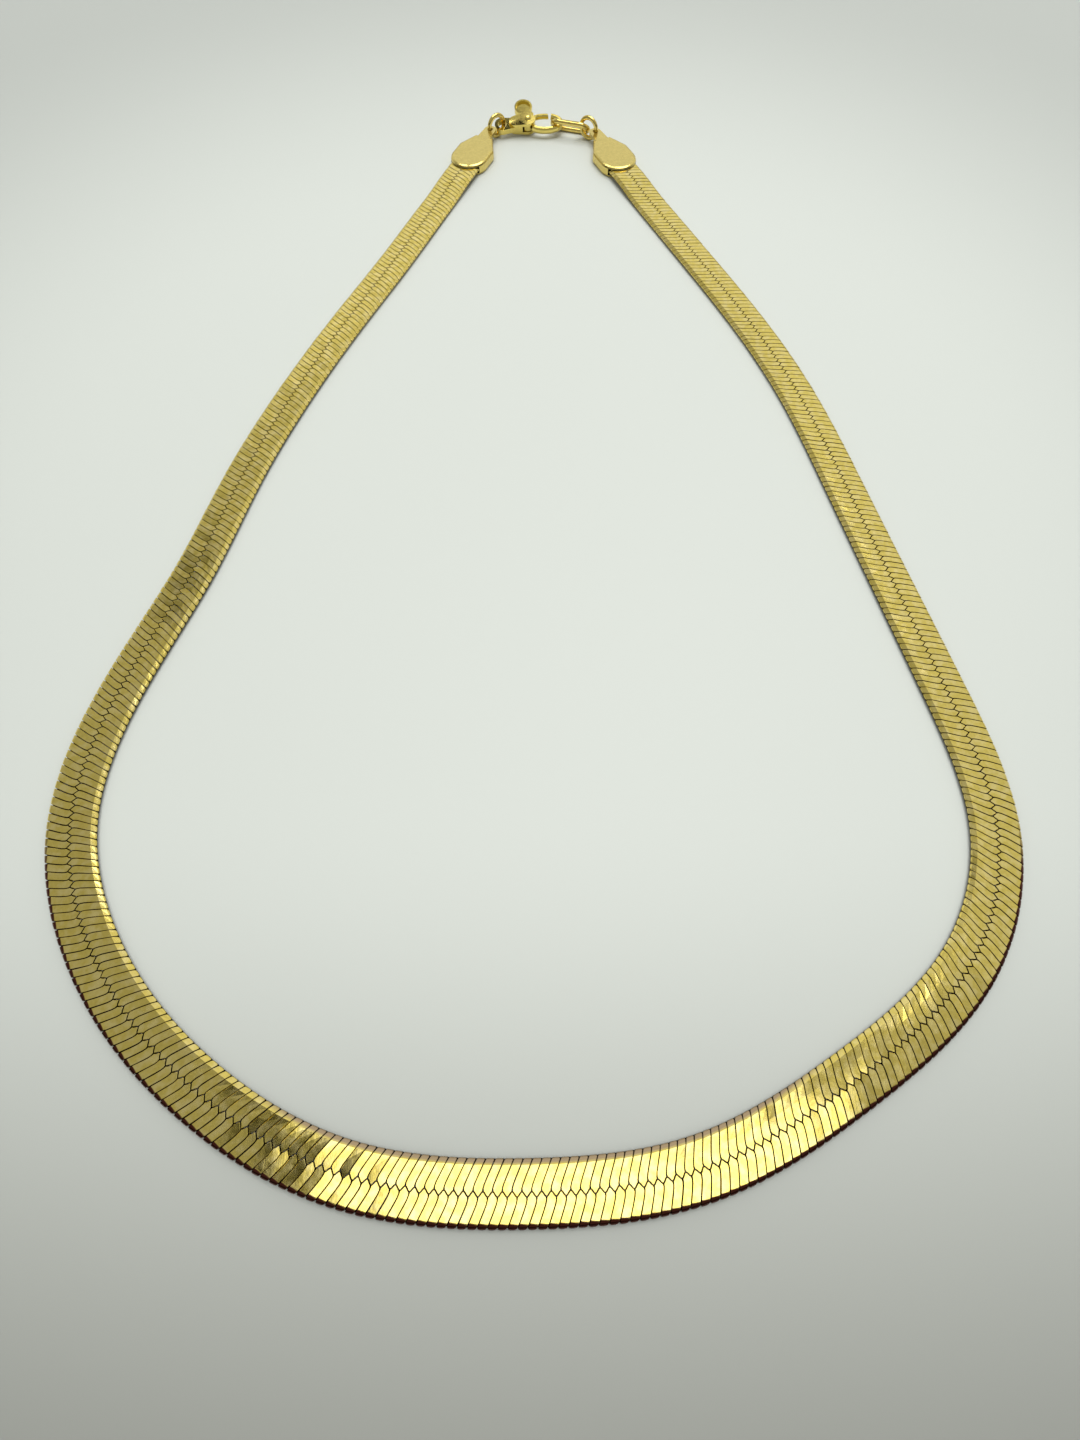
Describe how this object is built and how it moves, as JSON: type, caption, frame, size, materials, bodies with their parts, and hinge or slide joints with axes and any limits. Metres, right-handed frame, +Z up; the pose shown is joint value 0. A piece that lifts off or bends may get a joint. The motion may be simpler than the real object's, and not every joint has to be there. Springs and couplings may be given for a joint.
{
  "type": "herringbone chain necklace",
  "caption": "Flat woven herringbone necklace lying in a teardrop loop, closed by a small lobster clasp, jump rings and an oval link",
  "frame": {"origin": "on the table under the middle of the necklace's outline", "axes": "+Z up from the table, -Y to the front of the loop, +Y to the clasp, X across the loop"},
  "size_m": [0.0978, 0.1607, 0.0035],
  "materials": {
    "woven_gold": "polished gold plate on the woven links",
    "cap_gold": "satin gold plate on folded sheet",
    "clasp_gold": "polished gold plate on cast metal",
    "wire_gold": "polished gold plate on round wire"
  },
  "bodies": {
    "necklace": {"herringbone_band": "woven_gold", "left_end_cap": "cap_gold", "right_end_cap": "cap_gold", "left_jump_ring": "wire_gold", "clasp_body": "clasp_gold", "clasp_rivet": "wire_gold", "connector_link": "wire_gold", "right_jump_ring": "wire_gold"},
    "lever": {"clasp_lever": "clasp_gold"}
  },
  "joints": [
    {"name": "lever_turn", "type": "hinge", "parent": "necklace", "child": "lever", "pos_m": [-0.0013, 0.07616, 0.0015], "axis": [0, -0.2588, 0.9659], "range_deg": [-18, 0], "stiffness_Nm_per_rad": 0.002}
  ]
}
